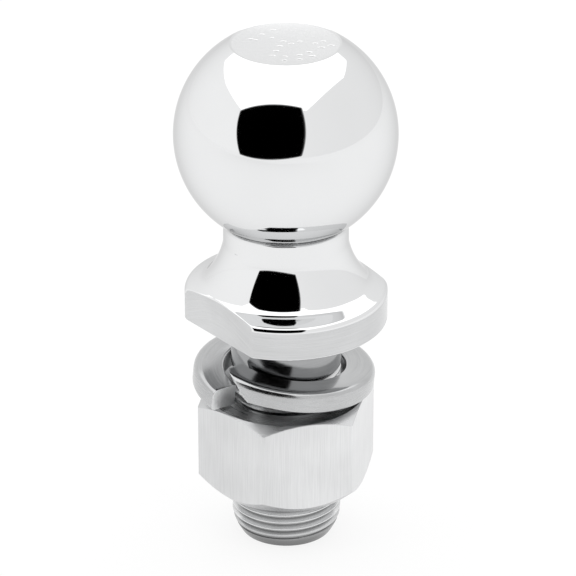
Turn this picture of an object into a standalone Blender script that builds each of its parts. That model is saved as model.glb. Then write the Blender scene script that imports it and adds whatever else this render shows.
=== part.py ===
"""Trailer hitch ball: a one-piece ball stud, a split lock washer and a hex nut.

Metres, +Z up. The origin is on the axis of the shank, in the plane of its lower end,
and the front of the object faces -Y. The stud is one forging: ball, neck, collar and
threaded shank. The nut screws on the shank and carries the lock washer on its top face.
Angles around the axis are counted from the front, counter-clockwise from above.
"""
import math

import bmesh
import bpy
from mathutils import Matrix

# ---------------------------------------------------------------- driving dimensions
# Ball and neck
BALL_DIAMETER = 0.0508
BALL_FLAT_DIAMETER = 0.0252
BALL_FILLET_RADIUS = 0.0030
NECK_DIAMETER = 0.0287
NECK_LENGTH = 0.00331

# Collar: a rim with two wrench flats, and a flare that rises from it to the neck
COLLAR_DIAMETER = 0.0465
COLLAR_RIM_HEIGHT = 0.00666
COLLAR_UNDER_CHAMFER = 0.0003
SHOULDER_RADIUS = 0.0014
FLARE_RADII = (0.0070, 0.0196, 0.0040)
FLARE_LEANS = (math.radians(12.0), math.radians(39.0), math.radians(70.0))
WRENCH_FLAT_DEPTH = 0.00385
WRENCH_FACING = math.radians(-52.0)

# Shank: plain below the collar, then a right-hand unified thread down to a tapered tip
SHANK_DIAMETER = 0.0254
SHANK_LENGTH = 0.0550
SHANK_FILLET_RADIUS = 0.0012
PLAIN_LENGTH = 0.0115
THREAD_RELIEF = 0.00005
THREAD_PITCH = 0.0254 / 14.0
THREAD_DEPTH = 0.0011
THREAD_CREST = 0.00023
THREAD_FLANK_ANGLE = math.radians(30.0)
THREAD_OVERLAP = 0.0010
TIP_TAPER = 0.00205
TIP_LENGTH = 0.0053

# Nut
NUT_ACROSS_FLATS = 0.0368
NUT_HEIGHT = 0.0231
NUT_CORNER = math.radians(-14.6)
NUT_TOP_FACE_INSET = 0.00025
NUT_TOP_CHAMFER = math.radians(30.0)
NUT_BOTTOM_FACE_INSET = 0.0016
NUT_BOTTOM_CHAMFER = math.radians(42.0)
NUT_BORE_CHAMFER = 0.0004

# Lock washer: one left-hand turn of bar, which lies a little askew on the nut
WASHER_BAR_WIDTH = 0.00685
WASHER_THICKNESS = 0.0052
WASHER_RISE = 0.0062
WASHER_TOP_EDGE = 0.0014
WASHER_SMALL_EDGE = 0.0007
WASHER_UPPER_END = math.radians(-39.0)
WASHER_SWEEP = math.radians(348.0)
WASHER_END_LENGTH = math.radians(20.0)
WASHER_CUT_SLANT = math.radians(42.0)
WASHER_TILT = math.radians(6.0)
WASHER_SHIFT = (-0.00045, 0.00085)

# Fits: the opening left for what is clamped, and the clearances
GRIP_GAP = 0.00745
SEAT_GAP = 0.0003
WASHER_CLEARANCE = 0.0014
THREAD_CLEARANCE = 0.0003

# Sizes that follow from the ones above
THREAD_DIAMETER = SHANK_DIAMETER - 2.0 * THREAD_RELIEF
THREAD_LENGTH = SHANK_LENGTH - PLAIN_LENGTH
WASHER_BORE_RADIUS = SHANK_DIAMETER / 2.0 + WASHER_CLEARANCE
WASHER_OUTER_RADIUS = WASHER_BORE_RADIUS + WASHER_BAR_WIDTH
FLARE_ARCS = tuple(zip(FLARE_RADII, (0.0, *FLARE_LEANS), FLARE_LEANS))
FLARE_REACH = sum(radius * (math.cos(first) - math.cos(last)) for radius, first, last in FLARE_ARCS)
FLARE_DROP = sum(radius * (math.sin(last) - math.sin(first)) for radius, first, last in FLARE_ARCS)
CONE_REACH = ((COLLAR_DIAMETER - NECK_DIAMETER) / 2.0 - FLARE_REACH
              - SHOULDER_RADIUS * (1.0 - math.cos(FLARE_LEANS[-1])))
SHOULDER_Z = SHANK_LENGTH + COLLAR_RIM_HEIGHT
FLARE_TOP = (SHOULDER_Z + SHOULDER_RADIUS * math.sin(FLARE_LEANS[-1])
             + CONE_REACH / math.tan(FLARE_LEANS[-1]) + FLARE_DROP)
BALL_DROP = math.sqrt((BALL_DIAMETER / 2.0 + BALL_FILLET_RADIUS) ** 2
                      - (NECK_DIAMETER / 2.0 + BALL_FILLET_RADIUS) ** 2)
BALL_CENTRE = FLARE_TOP + NECK_LENGTH + BALL_DROP

# Mesh fineness: faces around each body, and along each arc of an outline
ROUND_STEPS = 48
THREAD_STEPS = 24
WASHER_STEPS = 40
WASHER_END_STEPS = 3
WASHER_EDGE_STEPS = 3
BALL_UPPER_STEPS = 9
BALL_LOWER_STEPS = 8
FILLET_STEPS = 4
FLARE_STEPS = 3
SHOULDER_STEPS = 4
STUD_CREASE = math.radians(28.0)
NUT_CREASE = math.radians(25.0)
WASHER_CREASE = math.radians(35.0)

# Distances below which points count as one, and lie on a cutting plane
MERGE = 5e-6
ON_PLANE = 1e-7

# Parts of the cutters that never show: the core that the thread is wound on, counted in
# thread depths, and how far a cutter reaches, counted in widths of the body that it cuts
CORE_SINK = 1.5
CUTTER_REACH = 2.0


# ---------------------------------------------------------------- scene and materials
def clear_scene():
    """Remove every object that is in the file."""
    for item in list(bpy.data.objects):
        bpy.data.objects.remove(item, do_unlink=True)


def make_metal(name, colour, roughness):
    """Return a bare metal material."""
    material = bpy.data.materials.new(name)
    material.use_nodes = True
    shader = material.node_tree.nodes["Principled BSDF"]
    shader.inputs["Base Color"].default_value = (*colour, 1.0)
    shader.inputs["Roughness"].default_value = roughness
    shader.inputs["Metallic"].default_value = 1.0
    material.diffuse_color = (*colour, 1.0)
    return material


def chrome_material():
    """Mirror chrome of the ball stud."""
    return make_metal("bright_chrome", (0.86, 0.87, 0.88), 0.06)


def washer_material():
    """Bright zinc of the lock washer."""
    return make_metal("bright_zinc", (0.72, 0.73, 0.74), 0.28)


def nut_material():
    """Satin zinc of the nut."""
    return make_metal("satin_zinc", (0.70, 0.71, 0.72), 0.40)


def add_object(name, bm, material=None):
    """Make an object from a bmesh and link it to the scene."""
    mesh = bpy.data.meshes.new(name)
    bm.to_mesh(mesh)
    bm.free()
    if material:
        mesh.materials.append(material)
    item = bpy.data.objects.new(name, mesh)
    bpy.context.scene.collection.objects.link(item)
    return item


def add_cutter(name, bm):
    """Make a hidden object that only serves a Boolean modifier."""
    item = add_object(name, bm)
    item.hide_render = True
    item.display_type = "WIRE"
    return item


def add_boolean(item, operation, other):
    """Combine an object with another one."""
    modifier = item.modifiers.new(f"{operation.lower()}_{other.name}", "BOOLEAN")
    modifier.operation = operation
    modifier.solver = "EXACT"
    modifier.object = other


def smooth(item, angle):
    """Shade an object smooth and keep its edges above an angle sharp."""
    item.data.shade_smooth()
    item.data.set_sharp_from_angle(angle=angle)


# ---------------------------------------------------------------- shared shapes
def arc(centre_r, centre_z, radius, start, end, steps):
    """Return points (r, z) along an arc, both ends included."""
    points = []
    for index in range(steps + 1):
        angle = start + (end - start) * index / steps
        points.append((centre_r + radius * math.cos(angle), centre_z + radius * math.sin(angle)))
    return points


def turn(points, steps):
    """Turn an outline of (r, z) points, whose two ends lie on the axis, into a solid."""
    bm = bmesh.new()
    verts = [bm.verts.new((r, 0.0, z)) for r, z in points]
    edges = [bm.edges.new(pair) for pair in zip(verts, verts[1:])]
    bmesh.ops.spin(bm, geom=verts + edges, cent=(0, 0, 0), axis=(0, 0, 1),
                   angle=math.tau, steps=steps, use_merge=True)
    bmesh.ops.remove_doubles(bm, verts=bm.verts, dist=MERGE)
    bmesh.ops.recalc_face_normals(bm, faces=bm.faces)
    return bm


# ---------------------------------------------------------------- thread
def thread_outline(bottom, top, growth):
    """Return one side of the threaded rod, as (r, z) points from bottom to top.

    The crests stand at whole numbers of pitches, so that every rod made here is in
    phase with every other one. Growth moves crest, root and flanks out by the same
    distance, and a root that has no width left becomes a sharp V.
    """
    slope = math.tan(THREAD_FLANK_ANGLE)
    crest_radius = THREAD_DIAMETER / 2.0 + growth
    crest_width = THREAD_CREST + 2.0 * growth * (1.0 / math.cos(THREAD_FLANK_ANGLE) - slope)
    depth = min(THREAD_DEPTH, (THREAD_PITCH - crest_width) / (2.0 * slope))
    has_flat_root = THREAD_PITCH - crest_width - 2.0 * depth * slope > MERGE
    first = math.floor(bottom / THREAD_PITCH) - 2
    last = math.ceil(top / THREAD_PITCH) + 1
    points = []
    for number in range(first, last + 1):
        centre = number * THREAD_PITCH
        points.append((crest_radius - depth, centre - crest_width / 2.0 - depth * slope))
        points.append((crest_radius, centre - crest_width / 2.0))
        points.append((crest_radius, centre + crest_width / 2.0))
        if has_flat_root:
            points.append((crest_radius - depth, centre + crest_width / 2.0 + depth * slope))
    return points


def threaded_rod(bottom, top, growth):
    """Return a closed rod with the shank's right-hand thread, cut off square.

    The outline turns once while it climbs one pitch, so that it meets itself one
    thread higher, and both ragged ends are then cut away. The facets stand half a step
    beside those of the turned bodies, so that no two of their edges run together.
    """
    bm = bmesh.new()
    verts = [bm.verts.new((r, 0.0, z)) for r, z in thread_outline(bottom, top, growth)]
    edges = [bm.edges.new(pair) for pair in zip(verts, verts[1:])]
    bmesh.ops.spin(bm, geom=verts + edges, cent=(0, 0, 0), axis=(0, 0, 1), angle=math.tau,
                   dvec=(0, 0, THREAD_PITCH / THREAD_STEPS), steps=THREAD_STEPS)
    bmesh.ops.remove_doubles(bm, verts=bm.verts, dist=MERGE)
    half_step = math.pi / ROUND_STEPS
    bmesh.ops.rotate(bm, verts=bm.verts, cent=(0, 0, 0), matrix=Matrix.Rotation(half_step, 3, "Z"))
    bmesh.ops.translate(bm, verts=bm.verts, vec=(0, 0, THREAD_PITCH * half_step / math.tau))
    for height, side in ((bottom, -1.0), (top, 1.0)):
        bmesh.ops.bisect_plane(bm, geom=bm.verts[:] + bm.edges[:] + bm.faces[:], dist=ON_PLANE,
                               plane_co=(0, 0, height), plane_no=(0, 0, side), clear_outer=True)
        rim = [edge for edge in bm.edges
               if edge.is_boundary and all(abs(vert.co.z - height) < MERGE for vert in edge.verts)]
        bmesh.ops.edgeloop_fill(bm, edges=rim)
    bmesh.ops.recalc_face_normals(bm, faces=bm.faces)
    return bm


# ---------------------------------------------------------------- ball stud
def ball_outline():
    """Return the outline of the flat, the ball and the fillet down to the neck."""
    radius = BALL_DIAMETER / 2.0
    reach = NECK_DIAMETER / 2.0 + BALL_FILLET_RADIUS
    start = math.acos(BALL_FLAT_DIAMETER / BALL_DIAMETER)
    end = -math.atan2(BALL_DROP, reach)
    points = [(0.0, BALL_CENTRE + radius * math.sin(start))]
    points += arc(0.0, BALL_CENTRE, radius, start, 0.0, BALL_UPPER_STEPS)
    points += arc(0.0, BALL_CENTRE, radius, 0.0, end, BALL_LOWER_STEPS)[1:]
    points += arc(reach, BALL_CENTRE - BALL_DROP, BALL_FILLET_RADIUS,
                  math.pi + end, math.pi, FILLET_STEPS)[1:]
    return points


def collar_outline():
    """Return the outline of the flare, the shoulder and the rim, down to the underside.

    The flare is a chain of tangent arcs, and each lean is how far the flare has turned
    away from the upright neck at the foot of its arc.
    """
    rim = COLLAR_DIAMETER / 2.0
    reach = NECK_DIAMETER / 2.0
    height = FLARE_TOP
    points = [(reach, height)]
    for radius, first, last in FLARE_ARCS:
        centre_r = reach + radius * math.cos(first)
        centre_z = height + radius * math.sin(first)
        points += arc(centre_r, centre_z, radius, math.pi + first, math.pi + last, FLARE_STEPS)[1:]
        reach, height = points[-1]
    points += arc(rim - SHOULDER_RADIUS, SHOULDER_Z, SHOULDER_RADIUS, FLARE_LEANS[-1], 0.0,
                  SHOULDER_STEPS)
    points.append((rim, SHANK_LENGTH + COLLAR_UNDER_CHAMFER))
    points.append((rim - COLLAR_UNDER_CHAMFER, SHANK_LENGTH))
    return points


def shank_outline():
    """Return the outline of the plain shank, down into the core of the thread."""
    shank = SHANK_DIAMETER / 2.0
    core = THREAD_DIAMETER / 2.0 - CORE_SINK * THREAD_DEPTH
    run_out = THREAD_LENGTH - (shank - core)
    points = arc(shank + SHANK_FILLET_RADIUS, SHANK_LENGTH - SHANK_FILLET_RADIUS,
                 SHANK_FILLET_RADIUS, math.pi / 2.0, math.pi, FILLET_STEPS)
    points += [(shank, THREAD_LENGTH), (core, run_out), (0.0, run_out)]
    return points


def tip_envelope():
    """Return a solid that holds the thread and tapers with the shank's tip."""
    tip = THREAD_DIAMETER / 2.0 - TIP_TAPER
    wide = CUTTER_REACH * THREAD_DIAMETER
    taper_top = TIP_LENGTH * (wide - tip) / TIP_TAPER
    top = max(SHANK_LENGTH, taper_top) + TIP_LENGTH
    return turn([(0.0, top), (wide, top), (wide, taper_top), (tip, 0.0), (0.0, 0.0)], ROUND_STEPS)


def wrench_flat_cutter(name, facing):
    """Return a block beside the collar, whose inner face is one wrench flat."""
    top = BALL_CENTRE - BALL_DIAMETER / 2.0
    bottom = SHANK_LENGTH - SHANK_FILLET_RADIUS
    reach = COLLAR_DIAMETER / 2.0 - WRENCH_FLAT_DEPTH + COLLAR_DIAMETER / 2.0
    bm = bmesh.new()
    bmesh.ops.create_cube(bm, size=1.0)
    bmesh.ops.scale(bm, vec=(CUTTER_REACH * COLLAR_DIAMETER, COLLAR_DIAMETER, top - bottom),
                    verts=bm.verts)
    bmesh.ops.translate(bm, vec=(0.0, -reach, (top + bottom) / 2.0), verts=bm.verts)
    cutter = add_cutter(name, bm)
    cutter.rotation_euler.z = facing
    return cutter


def build_ball_stud():
    """Build the forged stud: ball, neck, collar with wrench flats, and threaded shank."""
    outline = ball_outline() + collar_outline() + shank_outline()
    stud = add_object("ball_stud", turn(outline, ROUND_STEPS), chrome_material())
    thread = add_cutter("shank_thread", threaded_rod(-THREAD_PITCH, THREAD_LENGTH + THREAD_OVERLAP, 0.0))
    add_boolean(thread, "INTERSECT", add_cutter("shank_tip", tip_envelope()))
    add_boolean(stud, "UNION", thread)
    add_boolean(stud, "DIFFERENCE", wrench_flat_cutter("wrench_flat_front", WRENCH_FACING))
    add_boolean(stud, "DIFFERENCE", wrench_flat_cutter("wrench_flat_rear", WRENCH_FACING + math.pi))
    smooth(stud, STUD_CREASE)
    return stud


# ---------------------------------------------------------------- nut
def chamfer_envelope(name, face_inset, slope):
    """Return a turned block with a flat face on top, whose edge falls away as a cone.

    The face is at the height of the nut's top face, in the nut's own coordinates.
    """
    wide = NUT_ACROSS_FLATS
    face = NUT_ACROSS_FLATS / 2.0 - face_inset
    foot = NUT_HEIGHT - (wide - face) * math.tan(slope)
    below = min(foot, 0.0) - NUT_HEIGHT
    return add_cutter(name, turn([(0.0, NUT_HEIGHT), (face, NUT_HEIGHT), (wide, foot),
                                  (wide, below), (0.0, below)], ROUND_STEPS))


def bore_mouth():
    """Return a bobbin that chamfers both mouths of the nut's threaded bore."""
    mouth = THREAD_DIAMETER / 2.0 + THREAD_CLEARANCE + NUT_BORE_CHAMFER
    core = THREAD_DIAMETER / 2.0 - THREAD_DEPTH
    beyond = NUT_BORE_CHAMFER
    outline = [(0.0, NUT_HEIGHT + beyond), (mouth + beyond, NUT_HEIGHT + beyond),
               (core, NUT_HEIGHT - (mouth - core)), (core, mouth - core),
               (mouth + beyond, -beyond), (0.0, -beyond)]
    return add_cutter("nut_bore_mouth", turn(outline, ROUND_STEPS))


def build_hex_nut(bottom):
    """Build the hex nut, with conical chamfers on both ends and a threaded bore."""
    corner_radius = NUT_ACROSS_FLATS / 2.0 / math.cos(math.pi / 6.0)
    bm = bmesh.new()
    bmesh.ops.create_cone(bm, cap_ends=True, segments=6, radius1=corner_radius,
                          radius2=corner_radius, depth=NUT_HEIGHT)
    bmesh.ops.translate(bm, vec=(0.0, 0.0, NUT_HEIGHT / 2.0), verts=bm.verts)
    nut = add_object("hex_nut", bm, nut_material())
    nut.rotation_euler.z = NUT_CORNER
    upper = chamfer_envelope("nut_top_chamfer", NUT_TOP_FACE_INSET, NUT_TOP_CHAMFER)
    lower = chamfer_envelope("nut_bottom_chamfer", NUT_BOTTOM_FACE_INSET, NUT_BOTTOM_CHAMFER)
    mouth = bore_mouth()
    for item in (nut, upper, mouth):
        item.location.z = bottom
    lower.location.z = bottom + NUT_HEIGHT
    lower.rotation_euler.x = math.pi
    bore = add_cutter("nut_bore", threaded_rod(bottom - THREAD_PITCH, bottom + NUT_HEIGHT + THREAD_PITCH,
                                               THREAD_CLEARANCE))
    add_boolean(nut, "INTERSECT", upper)
    add_boolean(nut, "INTERSECT", lower)
    add_boolean(nut, "DIFFERENCE", mouth)
    add_boolean(nut, "DIFFERENCE", bore)
    smooth(nut, NUT_CREASE)
    return nut


# ---------------------------------------------------------------- lock washer
def washer_section():
    """Return the bar's section as (r, height) points, counter-clockwise."""
    inner = WASHER_BORE_RADIUS
    outer = WASHER_OUTER_RADIUS
    small = WASHER_SMALL_EDGE
    points = [(inner + small, 0.0), (outer - small, 0.0), (outer, small)]
    points += arc(outer - WASHER_TOP_EDGE, WASHER_THICKNESS - WASHER_TOP_EDGE, WASHER_TOP_EDGE,
                  0.0, math.pi / 2.0, WASHER_EDGE_STEPS)
    points += [(inner + small, WASHER_THICKNESS), (inner, WASHER_THICKNESS - small), (inner, small)]
    return points


def draw_out_upper_end(bm, face):
    """Draw the bar's square end out to the upper end, whose cut leans so that its top leads."""
    middle = (WASHER_OUTER_RADIUS + WASHER_BORE_RADIUS) / 2.0
    leads = [(vert.co.z - WASHER_THICKNESS / 2.0) * math.tan(WASHER_CUT_SLANT) / middle
             for vert in face.verts]
    for _ in range(WASHER_END_STEPS):
        face = bmesh.ops.extrude_discrete_faces(bm, faces=[face])["faces"][0]
        for vert, lead in zip(face.verts, leads):
            step = (WASHER_END_LENGTH + lead) / WASHER_END_STEPS
            bmesh.ops.rotate(bm, verts=[vert], cent=(0, 0, 0), matrix=Matrix.Rotation(-step, 3, "Z"))
            vert.co.z += WASHER_RISE * step / math.tau


def washer_mesh():
    """Return the split spring washer, tilted and shifted, with its lowest point at zero."""
    start = WASHER_UPPER_END + WASHER_END_LENGTH
    sweep = WASHER_SWEEP - WASHER_END_LENGTH
    bm = bmesh.new()
    section = [(r * math.sin(start), -r * math.cos(start), height) for r, height in washer_section()]
    face = bm.faces.new([bm.verts.new(point) for point in section])
    bmesh.ops.spin(bm, geom=[face, *face.edges, *face.verts], cent=(0, 0, 0), axis=(0, 0, 1),
                   angle=sweep, steps=WASHER_STEPS,
                   dvec=(0, 0, -WASHER_RISE * sweep / math.tau / WASHER_STEPS))
    draw_out_upper_end(bm, face)
    bmesh.ops.recalc_face_normals(bm, faces=bm.faces)
    bmesh.ops.rotate(bm, verts=bm.verts, cent=(0, 0, 0), matrix=Matrix.Rotation(WASHER_TILT, 3, "Y"))
    lowest = min(vert.co.z for vert in bm.verts)
    bmesh.ops.translate(bm, vec=(*WASHER_SHIFT, -lowest), verts=bm.verts)
    return bm


# ---------------------------------------------------------------- assembly
def main():
    """Build the stud, then stack the washer under the grip gap and the nut under it."""
    clear_scene()
    build_ball_stud()
    bm = washer_mesh()
    washer_bottom = SHANK_LENGTH - GRIP_GAP - max(vert.co.z for vert in bm.verts)
    washer = add_object("lock_washer", bm, washer_material())
    washer.location.z = washer_bottom
    smooth(washer, WASHER_CREASE)
    build_hex_nut(washer_bottom - SEAT_GAP - NUT_HEIGHT)


main()
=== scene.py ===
"""The finished look of a trailer hitch ball: ball stud, split lock washer and hex nut.

Metres, +Z up, front towards -Y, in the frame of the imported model. Angles around the axis
are counted from the front, counter-clockwise from above. Every outline is a list of
(radius, height) points that is turned about the axis.
"""

import logging
import math
from collections.abc import Callable, Iterable
from dataclasses import dataclass, field
from enum import Enum, IntEnum

import bmesh
import bpy
from mathutils import Matrix, Vector


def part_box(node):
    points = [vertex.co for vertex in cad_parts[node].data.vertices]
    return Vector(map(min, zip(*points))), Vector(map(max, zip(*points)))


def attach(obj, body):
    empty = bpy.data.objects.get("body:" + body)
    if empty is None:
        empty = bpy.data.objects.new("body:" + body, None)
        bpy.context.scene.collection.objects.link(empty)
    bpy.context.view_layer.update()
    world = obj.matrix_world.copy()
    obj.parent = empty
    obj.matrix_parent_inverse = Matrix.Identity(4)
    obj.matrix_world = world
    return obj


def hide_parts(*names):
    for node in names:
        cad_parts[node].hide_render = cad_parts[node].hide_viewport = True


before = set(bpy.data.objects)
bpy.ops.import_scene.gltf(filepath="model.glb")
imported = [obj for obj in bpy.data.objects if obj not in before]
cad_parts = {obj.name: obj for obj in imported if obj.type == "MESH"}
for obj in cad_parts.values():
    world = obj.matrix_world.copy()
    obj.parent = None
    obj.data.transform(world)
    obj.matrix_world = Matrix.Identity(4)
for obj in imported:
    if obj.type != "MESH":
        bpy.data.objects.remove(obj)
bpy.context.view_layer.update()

LOG = logging.getLogger("hitch_ball")
MM = 0.001
MERGE = 0.002 * MM
ON_PLANE = 1e-7
FULL_TURN = math.tau
QUARTER_TURN = math.tau / 4.0
MARK_RANGE = (0.3, 0.7)
CLOUD_RANGE = (0.35, 0.65)
UNIT_RANGE = (0.0, 1.0)

Point = tuple[float, float]
Colour = tuple[float, float, float]


# ---------------------------------------------------------------- named options
class Body(Enum):
    """The CAD body that a piece rides on, which is also the CAD node that it replaces."""

    STUD = "ball_stud"
    WASHER = "lock_washer"
    NUT = "hex_nut"


class Slot(Enum):
    """The material slot of the record that a piece takes its finish from."""

    CHROME = "bright_chrome"
    BRIGHT_ZINC = "bright_zinc"
    SATIN_ZINC = "satin_zinc"


class Lay(Enum):
    """The direction in which the fine marks of a finish run."""

    EVEN = "the same in every direction"
    ROUND = "in rings around the axis"
    UPRIGHT = "in straight lines along the axis"


class BarFace(IntEnum):
    """The kinds of face of the washer's bar, in the order of their finishes."""

    FLAT = 0
    SIDE = 1
    CUT = 2


# ---------------------------------------------------------------- finishes
class NodeBench:
    """A material under construction, with short calls for the nodes that finishes share."""

    def __init__(self, name: str) -> None:
        """Start a material of this name with its shader in place."""
        self.material = bpy.data.materials.new(name)
        self.material.use_nodes = True
        self.nodes = self.material.node_tree.nodes
        self.links = self.material.node_tree.links
        self.shader = self.nodes["Principled BSDF"]

    def add(self, kind: str, **settings: object) -> bpy.types.Node:
        """Add a node.

        Args:
            kind: Blender's name for the node type.
            settings: Attributes to set on the new node.

        Returns:
            The new node.
        """
        node = self.nodes.new(kind)
        for key, value in settings.items():
            setattr(node, key, value)
        return node

    def feed(self, socket: bpy.types.NodeSocket, value: object) -> None:
        """Link a socket to an output, or set its value."""
        if isinstance(value, bpy.types.NodeSocket):
            self.links.new(value, socket)
        else:
            socket.default_value = value

    def math(self, operation: str, first: object, second: object = 0.0) -> bpy.types.NodeSocket:
        """Return the result of a Math node on two values or outputs."""
        node = self.add("ShaderNodeMath", operation=operation)
        self.feed(node.inputs[0], first)
        self.feed(node.inputs[1], second)
        return node.outputs[0]

    def vector_math(self, operation: str, first: object, second: object) -> bpy.types.Node:
        """Return a Vector Math node on two vectors or outputs."""
        node = self.add("ShaderNodeVectorMath", operation=operation)
        self.feed(node.inputs[0], first)
        self.feed(node.inputs[1], second)
        return node

    def scaled(self, vector: object, factor: object) -> bpy.types.NodeSocket:
        """Return a vector or a colour times one number."""
        node = self.add("ShaderNodeVectorMath", operation="SCALE")
        self.feed(node.inputs["Vector"], vector)
        self.feed(node.inputs["Scale"], factor)
        return node.outputs["Vector"]

    def radius(self, place: bpy.types.NodeSocket) -> bpy.types.NodeSocket:
        """Return how far a place is from the axis."""
        flat = self.vector_math("MULTIPLY", place, (1.0, 1.0, 0.0)).outputs["Vector"]
        node = self.add("ShaderNodeVectorMath", operation="LENGTH")
        self.feed(node.inputs["Vector"], flat)
        return node.outputs["Value"]

    def axis(self, place: bpy.types.NodeSocket, name: str) -> bpy.types.NodeSocket:
        """Return one coordinate of a place."""
        split = self.add("ShaderNodeSeparateXYZ")
        self.feed(split.inputs[0], place)
        return split.outputs[name]

    def shade(self, tone: bpy.types.NodeSocket) -> None:
        """Darken the shader's colour, which already comes from other nodes, by a tone."""
        socket = self.shader.inputs["Base Color"]
        self.feed(socket, self.scaled(socket.links[0].from_socket, tone))

    def place(self, centre: Vector, tilt: float) -> bpy.types.NodeSocket:
        """Return object coordinates counted from a centre and freed of a tilt about Y."""
        coordinates = self.add("ShaderNodeTexCoord").outputs["Object"]
        moved = self.vector_math("SUBTRACT", coordinates, tuple(centre)).outputs[0]
        turned = self.add("ShaderNodeMapping", vector_type="POINT")
        turned.inputs["Rotation"].default_value = (0.0, -tilt, 0.0)
        self.feed(turned.inputs["Vector"], moved)
        return turned.outputs[0]

    def noise(self, vector: bpy.types.NodeSocket, detail: float = 2.0,
              phase: bpy.types.NodeSocket | None = None) -> bpy.types.NodeSocket:
        """Return a noise value from 0 to 1 on coordinates that are already scaled.

        Args:
            vector: The coordinates.
            detail: How many finer layers the noise has.
            phase: A fourth coordinate, for marks that run in rings.

        Returns:
            The output that carries the value.
        """
        node = self.add("ShaderNodeTexNoise", noise_dimensions="4D" if phase else "3D")
        self.feed(node.inputs["Vector"], vector)
        node.inputs["Scale"].default_value = 1.0
        node.inputs["Detail"].default_value = detail
        if phase:
            self.feed(node.inputs["W"], phase)
        return node.outputs[0]

    def spread(self, value: bpy.types.NodeSocket, source: Point, target: Point,
               soft: bool = False) -> bpy.types.NodeSocket:
        """Map a value from one range to another one, and hold it there."""
        kind = "SMOOTHSTEP" if soft else "LINEAR"
        node = self.add("ShaderNodeMapRange", interpolation_type=kind)
        self.feed(node.inputs["Value"], value)
        for key, number in zip(("From Min", "From Max", "To Min", "To Max"), (*source, *target)):
            node.inputs[key].default_value = number
        return node.outputs[0]

    def tint(self, factor: bpy.types.NodeSocket, dark: Colour, light: Colour) -> bpy.types.NodeSocket:
        """Return a colour between two colours, by a factor from 0 to 1."""
        node = self.add("ShaderNodeMix", data_type="RGBA")
        self.feed(node.inputs["Factor"], factor)
        for socket in node.inputs:
            if socket.type == "RGBA":
                socket.default_value = (*(dark if socket.name == "A" else light), 1.0)
        return next(socket for socket in node.outputs if socket.type == "RGBA")

    def relief(self, height: bpy.types.NodeSocket, depth: float) -> None:
        """Let a height pattern of this depth, in metres, stand out on the surface."""
        node = self.add("ShaderNodeBump")
        node.inputs["Strength"].default_value = 1.0
        node.inputs["Distance"].default_value = depth
        self.feed(node.inputs["Height"], height)
        self.links.new(node.outputs["Normal"], self.shader.inputs["Normal"])


@dataclass(frozen=True)
class Finish:
    """A bare metal finish: its colour, its gloss, and the marks that its making left.

    The marks vary the relief, the gloss and the tone at one spacing, and a slow
    cloudiness varies the tone over the whole piece.
    """

    name: str
    colour: Colour
    roughness: float
    lay: Lay = Lay.EVEN
    spacing: float = 0.3 * MM
    run: float = 40.0
    depth: float = 0.0
    gloss_change: float = 0.0
    tone_change: float = 0.0
    cloud_size: float = 14.0 * MM
    cloud_change: float = 0.0
    centre: tuple[float, float, float] = (0.0, 0.0, 0.0)
    tilt: float = 0.0
    edge_tint: float = 1.0

    def marks(self, bench: NodeBench, place: bpy.types.NodeSocket) -> bpy.types.NodeSocket:
        """Return the height pattern of the marks, from 0 to 1.

        Args:
            bench: The material under construction.
            place: Object coordinates, counted from the finish's centre.

        Returns:
            The output that carries the pattern.
        """
        fine = 1.0 / self.spacing
        slow = fine / self.run
        scale = {
            Lay.EVEN: (fine, fine, fine),
            Lay.ROUND: (slow, slow, slow),
            Lay.UPRIGHT: (fine, fine, slow),
        }[self.lay]
        vector = bench.vector_math("MULTIPLY", place, scale).outputs[0]
        if self.lay is not Lay.ROUND:
            return bench.noise(vector)
        reach = bench.math("ADD", bench.radius(place), bench.axis(place, "Z"))
        return bench.noise(vector, phase=bench.math("MULTIPLY", reach, fine))

    def tone(self, bench: NodeBench, place: bpy.types.NodeSocket,
             marks: bpy.types.NodeSocket) -> bpy.types.NodeSocket:
        """Return how light the surface is at each place, from 0 to 1."""
        clouds = bench.noise(bench.scaled(place, 1.0 / self.cloud_size))
        total = max(self.tone_change + self.cloud_change, MERGE)
        share = bench.math("MULTIPLY", bench.spread(marks, MARK_RANGE, UNIT_RANGE),
                           self.tone_change / total)
        rest = bench.math("MULTIPLY", bench.spread(clouds, CLOUD_RANGE, UNIT_RANGE),
                          self.cloud_change / total)
        return bench.math("ADD", share, rest)

    def material(self) -> bpy.types.Material:
        """Return the finish as a material."""
        bench = NodeBench(self.name)
        shader = bench.shader
        shader.inputs["Metallic"].default_value = 1.0
        shader.inputs["Specular Tint"].default_value = (*(self.edge_tint,) * 3, 1.0)
        place = bench.place(Vector(self.centre), self.tilt)
        marks = self.marks(bench, place)
        low = self.roughness - self.gloss_change
        high = self.roughness + self.gloss_change
        bench.feed(shader.inputs["Roughness"], bench.spread(marks, MARK_RANGE, (low, high)))
        darkest = 1.0 - self.tone_change - self.cloud_change
        dark = tuple(channel * darkest for channel in self.colour)
        bench.feed(shader.inputs["Base Color"],
                   bench.tint(self.tone(bench, place, marks), dark, self.colour))
        if self.depth:
            bench.relief(marks, self.depth)
        self.dress(bench, place)
        return bench.material

    def dress(self, bench: NodeBench, place: bpy.types.NodeSocket) -> None:
        """Add what only one kind of finish has; a plain finish adds nothing."""


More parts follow.
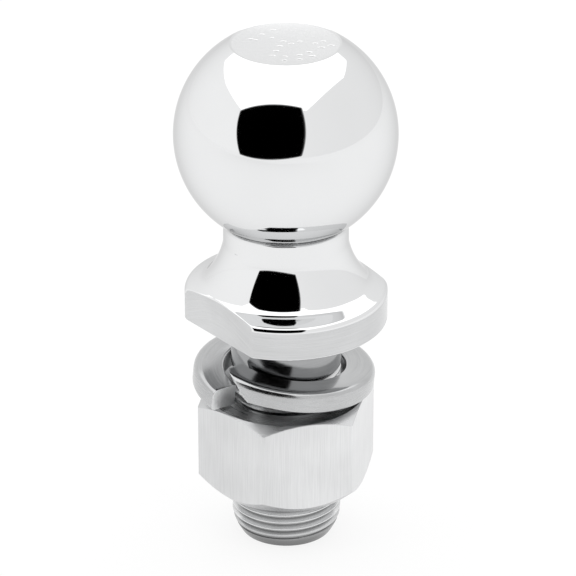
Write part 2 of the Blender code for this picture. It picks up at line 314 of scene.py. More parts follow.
@dataclass(frozen=True)
class ThreadFinish(Finish):
    """Cut thread, with painted shade darkening its roots so that its crests stand out as painted highlights,
    and darker towards the tip.
    """

    root_radius: float = 11.5 * MM
    crest_radius: float = 12.65 * MM
    painted_root_shade: float = 0.55
    tip_height: float = 6.0 * MM
    tip_tone: float = 0.45

    def dress(self, bench: NodeBench, place: bpy.types.NodeSocket) -> None:
        """Paint shade into the roots by radius, and darken the finish towards the tip by height."""
        # Painted shade: the thread darkens towards its roots, where shade falls.
        by_radius = bench.spread(bench.radius(place), (self.root_radius, self.crest_radius),
                                 (self.painted_root_shade, 1.0), soft=True)
        by_height = bench.spread(bench.axis(place, "Z"), (0.0, self.tip_height),
                                 (self.tip_tone, 1.0), soft=True)
        bench.shade(bench.math("MULTIPLY", by_radius, by_height))


@dataclass(frozen=True)
class SideShadedFinish(Finish):
    """Painted shade that darkens the finish towards one side of the piece, where less light falls."""

    shaded_side: float = -14.0 * MM
    lit_side: float = 12.0 * MM
    side_shade_tone: float = 0.89

    def dress(self, bench: NodeBench, place: bpy.types.NodeSocket) -> None:
        """Paint shade that darkens the finish from the lit side to the shaded side."""
        # Painted shade: the side towards -X is darker, as if less light fell there.
        bench.shade(bench.spread(bench.axis(place, "X"), (self.shaded_side, self.lit_side),
                                 (self.side_shade_tone, 1.0), soft=True))


# ---------------------------------------------------------------- shapes that pieces share
def arc(centre: Point, radius: float, start: float, end: float, steps: int) -> list[Point]:
    """Return points along an arc.

    Args:
        centre: The arc's centre, as (radius, height).
        radius: The arc's own radius.
        start: First angle, counted from outwards towards upwards.
        end: Last angle.
        steps: Number of straight pieces.

    Returns:
        The points, both ends included.
    """
    angles = [start + (end - start) * index / steps for index in range(steps + 1)]
    return [(centre[0] + radius * math.cos(angle), centre[1] + radius * math.sin(angle))
            for angle in angles]


def between(first: Point, last: Point, rows: int) -> list[Point]:
    """Return the points that part a straight line into rows, both ends left out."""
    return [(first[0] + (last[0] - first[0]) * row / rows, first[1] + (last[1] - first[1]) * row / rows)
            for row in range(1, rows)]


def chain(bm: bmesh.types.BMesh, points: Iterable[Point], start: float = 0.0) -> list:
    """Draw an outline in the upright plane at an angle, and return its vertices and edges."""
    verts = [bm.verts.new((r * math.sin(start), -r * math.cos(start), z)) for r, z in points]
    return verts + [bm.edges.new(pair) for pair in zip(verts, verts[1:])]


def turned(points: Iterable[Point], steps: int, start: float = 0.0) -> bmesh.types.BMesh:
    """Turn an outline about the axis.

    Args:
        points: The outline, whose ends lie on the axis if the body is to be closed.
        steps: Number of faces around.
        start: Angle at which the first row of vertices stands.

    Returns:
        The turned body.
    """
    bm = bmesh.new()
    bmesh.ops.spin(bm, geom=chain(bm, points, start), cent=(0, 0, 0), axis=(0, 0, 1),
                   angle=FULL_TURN, steps=steps, use_merge=True)
    bmesh.ops.remove_doubles(bm, verts=bm.verts, dist=MERGE)
    bmesh.ops.recalc_face_normals(bm, faces=bm.faces)
    return bm


def outward(facing: float) -> Vector:
    """Return the level direction that an angle around the axis faces."""
    return Vector((math.sin(facing), -math.cos(facing), 0.0))


def eased(depth: float, limit: float, edge: float) -> float:
    """Hold a depth at a limit, with a round transition that is twice the edge wide."""
    if depth <= limit - edge:
        return depth
    if depth >= limit + edge:
        return limit
    share = (depth - limit + edge) / (2.0 * edge)
    return limit - edge + 2.0 * edge * (share - share * share / 2.0)


def press_flat(bm: bmesh.types.BMesh, facing: float, distance: float, edge: float, zone: Point,
               strips: int = 2, level: float = 0.999) -> None:
    """Press an upright flat with softened edges into a turned body.

    Args:
        bm: The body.
        facing: Angle that the flat faces.
        distance: How far the flat is from the axis.
        edge: Half the width of the softened edge.
        zone: Lowest and highest height that the flat may touch.
        strips: Rows of faces on each side of the softened edge's middle.
        level: Upright share of a face's direction above which it counts as level and stays whole.
    """
    normal = outward(facing)
    for step in range(-strips, strips + 1):
        faces = [face for face in bm.faces
                 if zone[0] < face.calc_center_median().z < zone[1] and abs(face.normal.z) < level]
        sides = dict.fromkeys(side for face in faces for side in face.edges)
        corners = dict.fromkeys(vert for face in faces for vert in face.verts)
        bmesh.ops.bisect_plane(bm, geom=[*faces, *sides, *corners], dist=ON_PLANE, plane_no=normal,
                               plane_co=normal * (distance + step * edge / strips))
    for vert in bm.verts:
        if zone[0] <= vert.co.z <= zone[1]:
            depth = vert.co.dot(normal)
            vert.co -= normal * (depth - eased(depth, distance, edge))


def helix(points: Iterable[Point], pitch: float, steps: int, bottom: float,
          top: float) -> bmesh.types.BMesh:
    """Wind a thread outline that repeats at every pitch, and cut it off at two heights."""
    bm = bmesh.new()
    bmesh.ops.spin(bm, geom=chain(bm, points), cent=(0, 0, 0), axis=(0, 0, 1),
                   angle=FULL_TURN, dvec=(0, 0, pitch / steps), steps=steps)
    bmesh.ops.remove_doubles(bm, verts=bm.verts, dist=MERGE)
    for height, side in ((bottom, -1.0), (top, 1.0)):
        bmesh.ops.bisect_plane(bm, geom=bm.verts[:] + bm.edges[:] + bm.faces[:], dist=ON_PLANE,
                               plane_co=(0, 0, height), plane_no=(0, 0, side), clear_outer=True)
    return bm


def reshape_radius(bm: bmesh.types.BMesh, rule: Callable[[float, float], float]) -> None:
    """Move every vertex out or in, to the radius that a rule of radius and height gives."""
    for vert in bm.verts:
        radius = math.hypot(vert.co.x, vert.co.y)
        if radius > MERGE:
            share = rule(radius, vert.co.z) / radius
            vert.co.x *= share
            vert.co.y *= share


def rim_at(bm: bmesh.types.BMesh, height: float) -> list[bmesh.types.BMEdge]:
    """Return the open edges that lie at a height."""
    return [edge for edge in bm.edges
            if edge.is_boundary and all(abs(vert.co.z - height) < MERGE for vert in edge.verts)]


def paint(bm: bmesh.types.BMesh, number: int,
          chosen: Callable[[bmesh.types.BMFace], bool]) -> None:
    """Give one material number to every chosen face."""
    for face in bm.faces:
        if chosen(face):
            face.material_index = number


def finished_piece(name: str, bm: bmesh.types.BMesh, finishes: Iterable[Finish], body: Body,
                   crease: float = 30.0) -> bpy.types.Object:
    """Make a finished piece from a bmesh and hang it on its body.

    Args:
        name: Name of the piece.
        bm: Its shape, which is freed.
        finishes: Its finishes, in the order of the material numbers.
        body: The CAD body that it rides on and whose node it replaces.
        crease: Angle in degrees above which an edge stays sharp.

    Returns:
        The piece.
    """
    mesh = bpy.data.meshes.new(name)
    bm.to_mesh(mesh)
    bm.free()
    for finish in finishes:
        mesh.materials.append(finish.material())
    mesh.shade_smooth()
    mesh.set_sharp_from_angle(angle=math.radians(crease))
    piece = bpy.data.objects.new(name, mesh)
    bpy.context.scene.collection.objects.link(piece)
    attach(piece, body.value)
    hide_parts(body.value)
    LOG.info("%s: %d faces", name, len(mesh.polygons))
    return piece


# ---------------------------------------------------------------- thread
@dataclass(frozen=True)
class ThreadForm:
    """The right-hand unified thread that the shank and the nut share.

    Crests stand at whole numbers of pitches, so that both threads are in phase.
    """

    crest_radius: float = 12.65 * MM
    depth: float = 1.1 * MM
    crest_width: float = 0.23 * MM
    pitch: float = 25.4 / 14.0 * MM
    flank: float = math.radians(30.0)
    flank_steps: int = 4
    steps: int = 96

    def outline(self, bottom: float, top: float, growth: float) -> list[Point]:
        """Return one side of the thread.

        Args:
            bottom: Lowest height that has to be covered.
            top: Highest height that has to be covered.
            growth: How far crest, root and flanks stand off the nominal thread.

        Returns:
            The outline, from bottom to top.
        """
        slope = math.tan(self.flank)
        crest = self.crest_width + 2.0 * growth * (1.0 / math.cos(self.flank) - slope)
        depth = min(self.depth, (self.pitch - crest - 4.0 * MERGE) / (2.0 * slope))
        radius = self.crest_radius + growth
        points = []
        for number in range(math.floor(bottom / self.pitch) - 2, math.ceil(top / self.pitch) + 2):
            centre = number * self.pitch
            for side in (-1.0, 1.0):
                flank = [(radius - depth * share, centre + side * (crest / 2.0 + depth * share * slope))
                         for share in (index / self.flank_steps for index in range(self.flank_steps + 1))]
                points += flank[::-1] if side < 0.0 else flank
        return points


# ---------------------------------------------------------------- ball stud
MIRROR_CHROME = Finish("mirror_chrome", (0.825, 0.83, 0.835), 0.035, spacing=1.2 * MM,
                       gloss_change=0.008, cloud_change=0.012, edge_tint=0.72)
SATIN_CHROME = Finish("satin_chrome", (0.80, 0.805, 0.81), 0.24, spacing=0.5 * MM,
                      depth=0.004 * MM, gloss_change=0.04, tone_change=0.03, cloud_change=0.03)
TURNED_CHROME = Finish("turned_chrome", (0.68, 0.685, 0.69), 0.22, Lay.ROUND, spacing=0.18 * MM,
                       run=60.0, depth=0.012 * MM, gloss_change=0.06, tone_change=0.10,
                       cloud_change=0.06)
MILLED_CHROME = Finish("milled_chrome", (0.68, 0.685, 0.69), 0.22, Lay.ROUND, spacing=0.22 * MM,
                       run=30.0, depth=0.010 * MM, gloss_change=0.05, tone_change=0.08,
                       cloud_change=0.08)
# A darker copy of the chrome: painted shade on the shank under the collar.
SHADED_SHANK_CHROME = Finish("shaded_shank_chrome", (0.40, 0.405, 0.41), 0.12, Lay.ROUND, spacing=0.25 * MM,
                      run=40.0, depth=0.003 * MM, gloss_change=0.03, tone_change=0.12,
                      cloud_change=0.08)
PUNCHED_CHROME = Finish("punched_chrome", (0.98, 0.98, 0.98), 0.10, spacing=0.4 * MM,
                        gloss_change=0.02, tone_change=0.10)
# Its dress paints shade into the thread's roots, on the shank and in the nut's bore.
THREAD_STEEL = ThreadFinish("thread_steel", (0.84, 0.845, 0.85), 0.27, Lay.ROUND,
                            spacing=0.15 * MM, run=30.0, depth=0.008 * MM, gloss_change=0.08,
                            tone_change=0.12, cloud_change=0.10)


@dataclass
class BallStud:
    """The one-piece forging: ball, neck, collar with two wrench flats, and plain shank."""

    ball_radius: float
    height: float
    flat_radius: float = 12.6 * MM
    flat_sink: float = 0.12 * MM
    flat_lip: float = 4.0
    ball_fillet: float = 3.0 * MM
    neck_radius: float = 14.35 * MM
    rim_radius: float = 23.25 * MM
    underside: float = 55.0 * MM
    rim_height: float = 6.66 * MM
    rim_chamfer: float = 0.3 * MM
    shoulder: float = 1.4 * MM
    flare_radii: tuple[float, ...] = (7.0 * MM, 19.6 * MM, 4.0 * MM)
    flare_leans: tuple[float, ...] = (math.radians(12.0), math.radians(39.0), math.radians(70.0))
    wrench_flat: float = 19.4 * MM
    wrench_facing: float = math.radians(-52.0)
    wrench_edge: float = 0.3 * MM
    shank_radius: float = 12.7 * MM
    shank_fillet: float = 1.2 * MM
    thread_top: float = 43.5 * MM
    steps: int = 240
    ball_steps: int = 38
    fillet_steps: int = 12
    flare_steps: int = 14
    shoulder_steps: int = 12
    cone_rows: int = 6
    rim_rows: int = 4
    chamfer_steps: int = 3
    level_share: float = 0.99
    upright_share: float = 0.12
    flat_share: float = 0.9995

    @property
    def ball_centre(self) -> float:
        """Height of the ball's centre, from the flat that caps the ball."""
        return self.height - math.sqrt(self.ball_radius ** 2 - self.flat_radius ** 2)

    @property
    def flare_arcs(self) -> list[tuple[float, float, float]]:
        """Radius, first lean and last lean of each arc of the flare, from the neck outwards."""
        return list(zip(self.flare_radii, (0.0, *self.flare_leans), self.flare_leans))

    @property
    def flare_top(self) -> float:
        """Height at which the flare runs into the neck."""
        lean = self.flare_leans[-1]
        reach = sum(radius * (math.cos(first) - math.cos(last)) for radius, first, last in self.flare_arcs)
        drop = sum(radius * (math.sin(last) - math.sin(first)) for radius, first, last in self.flare_arcs)
        cone = self.rim_radius - self.neck_radius - reach - self.shoulder * (1.0 - math.cos(lean))
        return (self.underside + self.rim_height + self.shoulder * math.sin(lean)
                + cone / math.tan(lean) + drop)

    def ball_outline(self) -> list[Point]:
        """Return the outline of the flat, the ball and the fillet down to the neck."""
        centre = self.ball_centre
        reach = self.neck_radius + self.ball_fillet
        drop = math.sqrt((self.ball_radius + self.ball_fillet) ** 2 - reach ** 2)
        brow = math.acos(self.flat_radius / self.ball_radius)
        foot = -math.atan2(drop, reach)
        flat = self.height - self.flat_sink
        points = [(0.0, flat), (self.flat_radius - self.flat_lip * self.flat_sink, flat)]
        points += arc((0.0, centre), self.ball_radius, brow, 0.0, self.ball_steps)
        points += arc((0.0, centre), self.ball_radius, 0.0, foot, self.ball_steps)[1:]
        points += arc((reach, centre - drop), self.ball_fillet, math.pi + foot, math.pi,
                      self.fillet_steps)[1:]
        return points

    def collar_outline(self) -> list[Point]:
        """Return the outline of the flare, the shoulder and the rim, down to the underside."""
        shoulder_z = self.underside + self.rim_height
        place = (self.neck_radius, self.flare_top)
        points = [place]
        for radius, first, last in self.flare_arcs:
            centre = (place[0] + radius * math.cos(first), place[1] + radius * math.sin(first))
            points += arc(centre, radius, math.pi + first, math.pi + last, self.flare_steps)[1:]
            place = points[-1]
        corner = arc((self.rim_radius - self.shoulder, shoulder_z), self.shoulder,
                     self.flare_leans[-1], 0.0, self.shoulder_steps)
        points += between(place, corner[0], self.cone_rows)
        points += corner
        foot = self.underside + self.rim_chamfer
        points += between(corner[-1], (self.rim_radius, foot), self.rim_rows)
        points += arc((self.rim_radius - self.rim_chamfer, foot), self.rim_chamfer,
                      0.0, -QUARTER_TURN, self.chamfer_steps)
        return points

    def shank_outline(self) -> list[Point]:
        """Return the outline of the plain shank, down to where the thread starts."""
        points = arc((self.shank_radius + self.shank_fillet, self.underside - self.shank_fillet),
                     self.shank_fillet, QUARTER_TURN, math.pi, self.fillet_steps)
        return points + [(self.shank_radius, self.thread_top), (0.0, self.thread_top)]

    def build_forging(self) -> bpy.types.Object:
        """Build the forging with its chrome in five finishes."""
        bm = turned(self.ball_outline() + self.collar_outline() + self.shank_outline(), self.steps)
        zone = (self.underside - MERGE, self.flare_top)
        facings = (self.wrench_facing, self.wrench_facing + math.pi)
        for facing in facings:
            press_flat(bm, facing, self.wrench_flat, self.wrench_edge, zone)
        bm.normal_update()
        rim_top = self.underside + self.rim_height
        flats = [outward(facing) for facing in facings]
        cap = self.height - 2.0 * self.flat_sink
        finishes = (MIRROR_CHROME, SATIN_CHROME, TURNED_CHROME, MILLED_CHROME, SHADED_SHANK_CHROME)
        paint(bm, finishes.index(SATIN_CHROME), lambda face: (
            face.calc_center_median().z > cap and face.normal.z > self.level_share))
        paint(bm, finishes.index(TURNED_CHROME), lambda face: (
            self.underside < face.calc_center_median().z < rim_top
            and abs(face.normal.z) < self.upright_share))
        paint(bm, finishes.index(MILLED_CHROME), lambda face: (
            self.underside < face.calc_center_median().z < self.flare_top
            and any(face.normal.dot(flat) > self.flat_share for flat in flats)))
        # Painted shade: the shank below the collar takes the darker copy of the chrome.
        paint(bm, finishes.index(SHADED_SHANK_CHROME),
              lambda face: face.calc_center_median().z < self.underside + MERGE)
        return finished_piece("ball_stud_forging", bm, finishes, Body.STUD)


@dataclass
class ShankThread:
    """The threaded length of the shank, with a rounded tip and a run-out at its top."""

    form: ThreadForm
    top: float
    shank_radius: float
    tip_taper: float = 2.05 * MM
    tip_length: float = 5.3 * MM
    tip_roundness: float = 1.7
    run_out: float = 1.5
    overlap: float = 0.4 * MM
    crease: float = 40.0

    def radius_rule(self, radius: float, height: float) -> float:
        """Return the radius of a thread point after the tip and the run-out are cut."""
        missing = max(0.0, 1.0 - height / self.tip_length)
        tip = self.form.crest_radius - self.tip_taper * missing ** self.tip_roundness
        start = self.top - self.run_out * self.form.pitch
        share = min(1.0, max(0.0, (height - start) / (self.top - start)))
        filled = radius + (self.form.crest_radius - radius) * share * share
        return min(filled, tip)

    def build(self) -> bpy.types.Object:
        """Build the thread as a closed rod."""
        top = self.top + self.overlap
        bm = helix(self.form.outline(0.0, top, 0.0), self.form.pitch, self.form.steps, 0.0, top)
        reshape_radius(bm, self.radius_rule)
        for height in (0.0, top):
            bmesh.ops.edgeloop_fill(bm, edges=rim_at(bm, height))
        bmesh.ops.recalc_face_normals(bm, faces=bm.faces)
        return finished_piece("shank_thread", bm, (THREAD_STEEL,), Body.STUD,
                              crease=self.crease)


@dataclass(frozen=True)
class MarkRow:
    """A row of plain punched dashes: where it starts, how it steps on, and how many it has."""

    start: Point
    step: Point
    count: int
    length: float


@dataclass
class PunchedMarks:
    """Plain dashes in rows on the flat that caps the ball, with no meaning of their own."""

    flat: float
    top: float
    width: float = 0.42 * MM
    segments: int = 12
    crease: float = 60.0
    rows: tuple[MarkRow, ...] = (
        MarkRow((-7.8 * MM, 2.7 * MM), (2.5 * MM, 2.7 * MM), 3, 1.5 * MM),
        MarkRow((-6.6 * MM, 2.2 * MM), (3.6 * MM, 1.2 * MM), 2, 1.1 * MM),
        MarkRow((-2.9 * MM, -6.7 * MM), (0.8 * MM, 2.7 * MM), 4, 1.6 * MM),
        MarkRow((-0.2 * MM, -9.4 * MM), (0.1 * MM, 2.2 * MM), 2, 1.3 * MM),
        MarkRow((3.1 * MM, -8.8 * MM), (0.0 * MM, 2.5 * MM), 2, 1.5 * MM),
        MarkRow((5.9 * MM, -6.9 * MM), (-0.7 * MM, 2.1 * MM), 2, 1.7 * MM),
        MarkRow((3.2 * MM, 1.3 * MM), (-1.9 * MM, -1.2 * MM), 2, 1.4 * MM),
        MarkRow((6.6 * MM, 0.2 * MM), (1.8 * MM, 1.2 * MM), 2, 1.4 * MM),
        MarkRow((8.0 * MM, -2.1 * MM), (2.1 * MM, 1.1 * MM), 2, 1.8 * MM),
    )

    def build(self) -> bpy.types.Object:
        """Build every dash as a low rounded bead, half sunk in the flat."""
        bm = bmesh.new()
        for row in self.rows:
            for index in range(row.count):
                place = (row.start[0] + row.step[0] * index, row.start[1] + row.step[1] * index)
                size = (row.length / 2.0, self.width / 2.0, self.top - self.flat)
                matrix = Matrix.Translation((*place, self.flat)) @ Matrix.Diagonal((*size, 1.0))
                bmesh.ops.create_uvsphere(bm, u_segments=self.segments, v_segments=self.segments,
                                          radius=1.0, matrix=matrix)
        return finished_piece("punched_marks", bm, (PUNCHED_CHROME,), Body.STUD,
                              crease=self.crease)


# ---------------------------------------------------------------- lock washer
@dataclass
class LockWasher:
    """The split spring washer: one left-hand turn of bar, whose two ends part at the front."""

    lowest: float
    bore_radius: float = 14.1 * MM
    bar_width: float = 6.85 * MM
    thickness: float = 5.2 * MM
    rise: float = 6.2 * MM
    top_edge: float = 1.7 * MM
    low_edge: float = 1.1 * MM
    small_edge: float = 0.5 * MM
    edge_steps: int = 6
    small_steps: int = 3
    facet_width: float = 2.4 * MM
    facet_turn: float = math.radians(52.0)
    upper_end: float = math.radians(-39.0)
    sweep: float = math.radians(348.0)
    end_length: float = math.radians(20.0)
    cut_slant: float = math.radians(42.0)
    cut_bevel: float = 0.18 * MM
    tilt: float = math.radians(6.0)
    shift: Point = (-0.45 * MM, 0.85 * MM)
    steps: int = 164
    end_steps: int = 10
    bevel_steps: int = 2
    side_share: float = 0.45

    def section(self) -> list[Point]:
        """Return the bar's section as (radius, height) points, counter-clockwise."""
        inner = self.bore_radius
        outer = self.bore_radius + self.bar_width
        small = self.small_edge
        low = self.low_edge
        top = self.top_edge
        facet = outer - self.facet_width
        points = arc((inner + small, small), small, -2.0 * QUARTER_TURN, -QUARTER_TURN, self.small_steps)
        points.append((facet, 0.0))
        points += arc((outer - low, low), low, -QUARTER_TURN, 0.0, self.edge_steps)
        points += arc((outer - top, self.thickness - top), top, 0.0, QUARTER_TURN, self.edge_steps)
        points.append((facet, self.thickness))
        points += arc((inner + small, self.thickness - small), small, QUARTER_TURN,
                      2.0 * QUARTER_TURN, self.small_steps)
        return points

    def finishes(self) -> tuple[Finish, ...]:
        """Return the finishes of the flat sides, the drawn outer side and the cut ends."""
        centre = (*self.shift, self.lowest)
        flat = Finish("washer_face_zinc", (0.54, 0.545, 0.55), 0.15, Lay.ROUND, spacing=0.3 * MM,
                      run=50.0, depth=0.006 * MM, gloss_change=0.05, tone_change=0.10,
                      cloud_change=0.10, centre=centre, tilt=self.tilt)
        side = Finish("washer_side_zinc", (0.58, 0.585, 0.59), 0.25, Lay.ROUND, spacing=0.22 * MM,
                      run=12.0, depth=0.018 * MM, gloss_change=0.08, tone_change=0.12,
                      cloud_change=0.10, centre=centre, tilt=self.tilt)
        cut = Finish("sheared_zinc", (0.96, 0.965, 0.97), 0.50, Lay.EVEN, spacing=0.5 * MM,
                     depth=0.03 * MM, gloss_change=0.08, tone_change=0.10, cloud_change=0.06)
        return flat, side, cut

    def draw_out_upper_end(self, bm: bmesh.types.BMesh,
                           face: bmesh.types.BMFace) -> list[bmesh.types.BMFace]:
        """Draw the bar's square end out to the upper end, whose cut leans so that its top leads.

        The outer part of the end is cut back as a facet that looks outwards.

        Args:
            bm: The bar.
            face: The square end face.

        Returns:
            The two parts of the end: the cut and its facet.
        """
        middle = self.bore_radius + self.bar_width / 2.0
        inner_part = self.bore_radius + self.bar_width - self.facet_width
        leads = [((vert.co.z - self.thickness / 2.0) * math.tan(self.cut_slant)
                  - max(0.0, math.hypot(*vert.co.xy) - inner_part) * math.tan(self.facet_turn)) / middle
                 for vert in face.verts]
        corners = [index for index, vert in enumerate(face.verts)
                   if abs(math.hypot(*vert.co.xy) - inner_part) < MERGE]
        for _ in range(self.end_steps):
            face = bmesh.ops.extrude_discrete_faces(bm, faces=[face])["faces"][0]
            for vert, lead in zip(face.verts, leads):
                step = (self.end_length + lead) / self.end_steps
                bmesh.ops.rotate(bm, verts=[vert], cent=(0, 0, 0), matrix=Matrix.Rotation(-step, 3, "Z"))
                vert.co.z += self.rise * step / FULL_TURN
        rim = list(face.verts)
        bmesh.ops.connect_verts(bm, verts=[rim[index] for index in corners])
        shared = set(rim)
        return [part for part in bm.faces if shared.issuperset(part.verts)]

    def build(self) -> bpy.types.Object:
        """Build the washer and lay it askew on the nut, as low as the CAD washer lies."""
        start = self.upper_end + self.end_length
        sweep = self.sweep - self.end_length
        bm = bmesh.new()
        section = [(r * math.sin(start), -r * math.cos(start), height) for r, height in self.section()]
        face = bm.faces.new([bm.verts.new(point) for point in section])
        result = bmesh.ops.spin(bm, geom=[face, *face.edges, *face.verts], cent=(0, 0, 0),
                                axis=(0, 0, 1), angle=sweep, steps=self.steps,
                                dvec=(0, 0, -self.rise * sweep / FULL_TURN / self.steps))
        lower = next(item for item in result["geom_last"] if isinstance(item, bmesh.types.BMFace))
        upper = self.draw_out_upper_end(bm, face)
        bmesh.ops.recalc_face_normals(bm, faces=bm.faces)
        bm.normal_update()
        for end in (lower, *upper):
            end.material_index = BarFace.CUT
        middle = self.bore_radius + self.bar_width / 2.0
        paint(bm, BarFace.SIDE, lambda side: (side.material_index == BarFace.FLAT
                                              and abs(side.normal.z) < self.side_share
                                              and math.hypot(*side.calc_center_median().xy) > middle))
        edges = list(dict.fromkeys(edge for end in (lower, *upper) for edge in end.edges))
        bmesh.ops.bevel(bm, geom=edges, offset=self.cut_bevel, segments=self.bevel_steps,
                        profile=0.5, material=-1, affect="EDGES", offset_type="OFFSET",
                        clamp_overlap=True)
        bmesh.ops.rotate(bm, verts=bm.verts, cent=(0, 0, 0), matrix=Matrix.Rotation(self.tilt, 3, "Y"))
        drop = self.lowest - min(vert.co.z for vert in bm.verts)
        bmesh.ops.translate(bm, vec=(*self.shift, drop), verts=bm.verts)
        return finished_piece("lock_washer_ring", bm, self.finishes(), Body.WASHER)


# ---------------------------------------------------------------- nut
# The nut's flats get painted shade, darker towards the left side.
GRAINED_ZINC = SideShadedFinish("grained_zinc", (0.84, 0.845, 0.85), 0.36, Lay.UPRIGHT,
                            spacing=0.30 * MM, run=30.0, depth=0.012 * MM, gloss_change=0.06,
                            tone_change=0.10, cloud_change=0.06)
FACED_ZINC = Finish("faced_zinc", (0.60, 0.605, 0.61), 0.30, Lay.ROUND, spacing=0.3 * MM,
                    run=24.0, depth=0.020 * MM, gloss_change=0.06, tone_change=0.12,
                    cloud_change=0.08)


@dataclass
class HexNut:
    """The hex nut: six pressed flats, a cone on each end and the shank's thread inside."""

    form: ThreadForm
    bottom: float
    top: float
    across_flats: float = 36.8 * MM
    corner: float = math.radians(-14.6)
    corner_rounding: float = 0.12 * MM
    flat_edge: float = 0.10 * MM
    top_face: float = 18.15 * MM
    top_slope: float = math.radians(30.0)
    bottom_face: float = 16.8 * MM
    bottom_slope: float = math.radians(42.0)
    thread_clearance: float = 0.12 * MM
    mouth: float = 0.4 * MM
    steps: int = 216
    cone_rows: int = 10
    side_rows: int = 4
    sides: int = 6
    faced_share: float = 0.4

    @property
    def mouth_radius(self) -> float:
        """Radius of the bore's chamfered mouths."""
        return self.form.crest_radius + self.thread_clearance + self.mouth

    def outline(self) -> list[Point]:
        """Return the outside of the nut's blank, from the upper mouth to the lower one."""
        wide = self.across_flats / 2.0 / math.cos(math.pi / self.sides) - self.corner_rounding
        upper = self.top - (wide - self.top_face) * math.tan(self.top_slope)
        lower = self.bottom + (wide - self.bottom_face) * math.tan(self.bottom_slope)
        turns = [(self.top_face, self.top), (wide, upper), (wide, lower), (self.bottom_face, self.bottom)]
        points = [(self.mouth_radius, self.top), turns[0]]
        for first, last, rows in zip(turns, turns[1:], (self.cone_rows, self.side_rows, self.cone_rows)):
            points += [*between(first, last, rows), last]
        return points + [(self.mouth_radius, self.bottom)]

    def bore_rule(self, radius: float, height: float) -> float:
        """Return the radius of a bore point after both mouths are chamfered."""
        inside = min(height - self.bottom, self.top - height)
        return max(radius, self.mouth_radius - inside)

    def add_bore(self, bm: bmesh.types.BMesh) -> None:
        """Wind the threaded bore into the nut and bridge it to both faces."""
        outline = self.form.outline(self.bottom, self.top, self.thread_clearance)
        bore = helix(outline, self.form.pitch, self.form.steps, self.bottom, self.top)
        reshape_radius(bore, self.bore_rule)
        mesh = bpy.data.meshes.new("bore")
        bore.to_mesh(mesh)
        bore.free()
        bm.from_mesh(mesh)
        bpy.data.meshes.remove(mesh)
        for height in (self.bottom, self.top):
            bmesh.ops.bridge_loops(bm, edges=rim_at(bm, height))

    def build(self) -> bpy.types.Object:
        """Build the nut with grained flats, faced ends and a bore that takes the thread's painted shade by
        radius.
        """
        bm = turned(self.outline(), self.steps, self.corner)
        zone = (self.bottom - MM, self.top + MM)
        for side in range(self.sides):
            facing = self.corner + FULL_TURN * (side + 0.5) / self.sides
            press_flat(bm, facing, self.across_flats / 2.0, self.flat_edge, zone)
        self.add_bore(bm)
        bmesh.ops.recalc_face_normals(bm, faces=bm.faces)
        bm.normal_update()
        finishes = (GRAINED_ZINC, FACED_ZINC, THREAD_STEEL)
        paint(bm, finishes.index(FACED_ZINC), lambda face: abs(face.normal.z) > self.faced_share)
        paint(bm, finishes.index(THREAD_STEEL),
              lambda face: math.hypot(*face.calc_center_median().xy) < self.mouth_radius)
        return finished_piece("hex_nut_body", bm, finishes, Body.NUT)


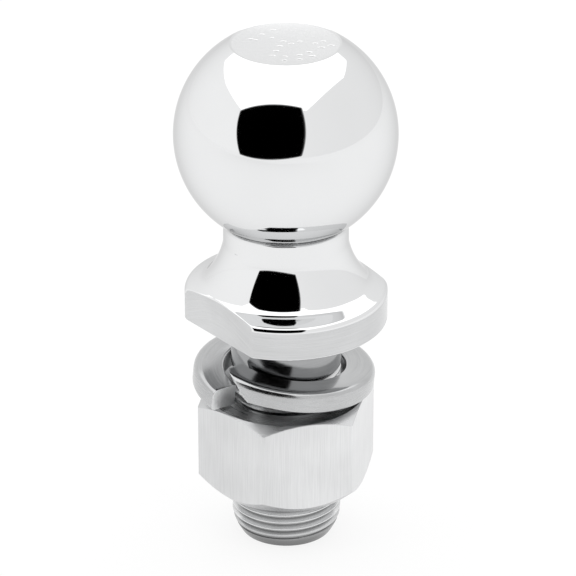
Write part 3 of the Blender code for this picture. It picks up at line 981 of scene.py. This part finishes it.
# ---------------------------------------------------------------- studio
@dataclass
class Studio:
    """A pale floor, soft overhead light, a dark card in front, and the camera."""

    ball_centre: float
    floor_radius: float = 5.0
    floor_segments: int = 64
    floor_drop: float = 0.05 * MM
    floor_tone: float = 0.15
    floor_glow: float = 0.86
    card_tangents: tuple[float, float, float, float] = (-1.235, 0.384, -0.488, 0.564)
    card_distance: float = 0.9
    card_pitch: float = math.radians(65.9)
    card_bow: float = 0.08
    card_fade: float = 0.05
    card_keystone: float = 0.10
    card_square: float = 0.7
    card_segments: int = 48
    box_height: float = 1.0
    box_corners: tuple[Point, ...] = ((-1.15, -0.9), (0.50, -0.9), (0.82, -0.2), (1.12, 0.42),
                                      (1.2, 1.3), (-1.2, 1.3), (-1.25, 0.3))
    box_glow: float = 1.45
    sky_glow: float = 1.03
    sky_right: float = 0.92
    camera_place: tuple[float, float, float] = (0.00044, -0.83725, 0.47571)
    camera_pitch: float = math.radians(63.696)
    camera_roll: float = math.radians(-0.085)
    lens: float = 255.02
    sensor: float = 36.0
    camera_reach: float = 20.0
    helpers: list[bpy.types.Object] = field(default_factory=list)

    def stage_mesh(self, name: str, bm: bmesh.types.BMesh, material: bpy.types.Material) -> bpy.types.Object:
        """Make a piece of the studio, which isn't part of the object."""
        mesh = bpy.data.meshes.new(name)
        bm.to_mesh(mesh)
        bm.free()
        mesh.materials.append(material)
        item = bpy.data.objects.new(name, mesh)
        bpy.context.scene.collection.objects.link(item)
        self.helpers.append(item)
        return item

    def plain(self, name: str, tone: float, glow: float) -> bpy.types.Material:
        """Return a matt material that also glows by itself."""
        bench = NodeBench(name)
        bench.shader.inputs["Base Color"].default_value = (tone, tone, tone, 1.0)
        bench.shader.inputs["Roughness"].default_value = 1.0
        bench.shader.inputs["Specular IOR Level"].default_value = 0.0
        bench.shader.inputs["Emission Color"].default_value = (1.0, 1.0, 1.0, 1.0)
        bench.shader.inputs["Emission Strength"].default_value = glow
        return bench.material

    def add_floor(self) -> None:
        """Lay the floor that the shank's tip stands on."""
        bm = bmesh.new()
        bmesh.ops.create_circle(bm, cap_ends=True, segments=self.floor_segments,
                                radius=self.floor_radius)
        bmesh.ops.translate(bm, vec=(0.0, 0.0, -self.floor_drop), verts=bm.verts)
        self.stage_mesh("floor", bm, self.plain("pale_floor", self.floor_tone, self.floor_glow))

    def add_card(self) -> None:
        """Hang the dark card behind the camera: bowed sides, and an edge that fades to white."""
        left, right, low, high = (tangent * self.card_distance for tangent in self.card_tangents)
        bm = bmesh.new()
        fade = bm.verts.layers.float.new("fade")
        bmesh.ops.create_grid(bm, x_segments=self.card_segments, y_segments=self.card_segments, size=1.0)
        for vert in bm.verts:
            across, along = vert.co.x, vert.co.y
            edge = max(abs(across), abs(along))
            vert[fade] = max(0.0, 1.0 - (1.0 - edge) / self.card_fade)
            vert.co.x = across * (1.0 - self.card_bow * along * along)
            vert.co.y = along * (1.0 - self.card_bow * across * across) * (
                1.0 + self.card_keystone * (self.card_square - across))
        bmesh.ops.scale(bm, vec=((right - left) / 2.0, (high - low) / 2.0, 1.0), verts=bm.verts)
        bmesh.ops.translate(bm, vec=((right + left) / 2.0, (high + low) / 2.0, self.card_distance),
                            verts=bm.verts)
        bmesh.ops.rotate(bm, verts=bm.verts, cent=(0, 0, 0),
                         matrix=Matrix.Rotation(self.card_pitch, 3, "X"))
        bmesh.ops.translate(bm, vec=(0.0, 0.0, self.ball_centre), verts=bm.verts)
        bench = NodeBench("card_black")
        bench.shader.inputs["Base Color"].default_value = (0.0, 0.0, 0.0, 1.0)
        bench.shader.inputs["Specular IOR Level"].default_value = 0.0
        bench.shader.inputs["Emission Color"].default_value = (1.0, 1.0, 1.0, 1.0)
        edge = bench.add("ShaderNodeAttribute", attribute_name="fade").outputs["Fac"]
        bench.feed(bench.shader.inputs["Emission Strength"],
                   bench.spread(edge, UNIT_RANGE, (0.0, self.sky_glow), soft=True))
        card = self.stage_mesh("dark_card", bm, bench.material)
        card.visible_camera = False

    def add_soft_box(self) -> None:
        """Hang the soft box overhead, out of the camera's view."""
        height = self.box_height
        bm = bmesh.new()
        bm.faces.new([bm.verts.new((x * height, y * height, self.ball_centre + height))
                      for x, y in self.box_corners])
        box = self.stage_mesh("soft_box", bm, self.plain("soft_box_white", 0.0, self.box_glow))
        box.visible_camera = False

    def add_sky(self) -> None:
        """Surround the scene with an even white that is a little greyer on the right."""
        world = bpy.data.worlds.new("white_tent")
        world.use_nodes = True
        bpy.context.scene.world = world
        nodes = world.node_tree.nodes
        links = world.node_tree.links
        background = nodes["Background"]
        split = nodes.new("ShaderNodeSeparateXYZ")
        links.new(nodes.new("ShaderNodeTexCoord").outputs["Generated"], split.inputs[0])
        side = nodes.new("ShaderNodeMapRange")
        side.interpolation_type = "SMOOTHSTEP"
        links.new(split.outputs["X"], side.inputs["Value"])
        for key, number in (("From Min", -1.0), ("From Max", 1.0),
                            ("To Min", self.sky_glow), ("To Max", self.sky_right)):
            side.inputs[key].default_value = number
        links.new(side.outputs[0], background.inputs["Strength"])
        background.inputs["Color"].default_value = (1.0, 1.0, 1.0, 1.0)

    def add_camera(self) -> None:
        """Set up the camera."""
        data = bpy.data.cameras.new("camera")
        data.lens = self.lens
        data.sensor_width = self.sensor
        data.clip_end = self.camera_reach
        camera = bpy.data.objects.new("camera", data)
        camera.location = self.camera_place
        turn = Matrix.Rotation(self.camera_pitch, 4, "X") @ Matrix.Rotation(self.camera_roll, 4, "Z")
        camera.rotation_euler = turn.to_euler()
        bpy.context.scene.collection.objects.link(camera)
        bpy.context.scene.camera = camera

    def build(self) -> None:
        """Set up the whole studio."""
        self.add_floor()
        self.add_card()
        self.add_soft_box()
        self.add_sky()
        self.add_camera()
        bpy.context.scene.view_settings.view_transform = "Standard"
        LOG.info("studio: %s", ", ".join(item.name for item in self.helpers))


def main() -> None:
    """Build the pieces in order, then the studio around them."""
    logging.basicConfig(level=logging.INFO, format="%(name)s: %(message)s")
    stud_low, stud_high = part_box(Body.STUD.value)
    washer_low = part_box(Body.WASHER.value)[0]
    nut_low, nut_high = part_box(Body.NUT.value)
    form = ThreadForm()
    stud = BallStud(ball_radius=(stud_high.x - stud_low.x) / 2.0, height=stud_high.z)
    stud.build_forging()
    ShankThread(form, stud.thread_top, stud.shank_radius).build()
    PunchedMarks(stud.height - stud.flat_sink, stud.height).build()
    LockWasher(washer_low.z).build()
    HexNut(form, nut_low.z, nut_high.z).build()
    Studio(stud.ball_centre).build()


if __name__ == "__main__":
    main()
